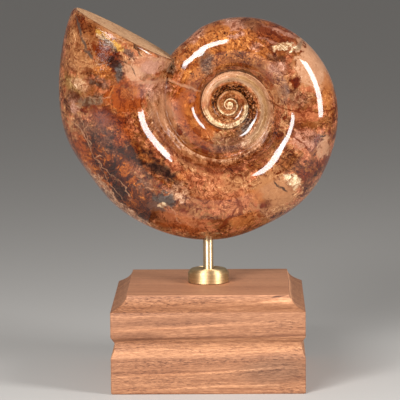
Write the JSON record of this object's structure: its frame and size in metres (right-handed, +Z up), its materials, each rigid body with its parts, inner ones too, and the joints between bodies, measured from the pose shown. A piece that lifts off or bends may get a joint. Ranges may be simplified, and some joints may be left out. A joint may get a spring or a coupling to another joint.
{
  "type": "polished lytoceras ammonite on a stand",
  "caption": "Polished Lytoceras ammonite with a flat-cut mouth, held upright by a brass pin and collar on a square moulded wooden block.",
  "frame": {"origin": "middle of the wooden block's flat underside", "axes": "+Z up, +X to the right, and the side of the fossil seen first faces -Y"},
  "size_m": [0.1096, 0.075, 0.1466],
  "materials": {
    "ammonite": "high polish, mottled brown, amber, cream and grey",
    "brass_pin": "satin, drawn rod",
    "brass_collar": "satin, turned",
    "wooden_block": "bare sanded wood with fine straight grain"
  },
  "bodies": {
    "root": {"ammonite": "ammonite", "brass_pin": "brass_pin", "brass_collar": "brass_collar", "wooden_block": "wooden_block"}
  },
  "joints": []
}
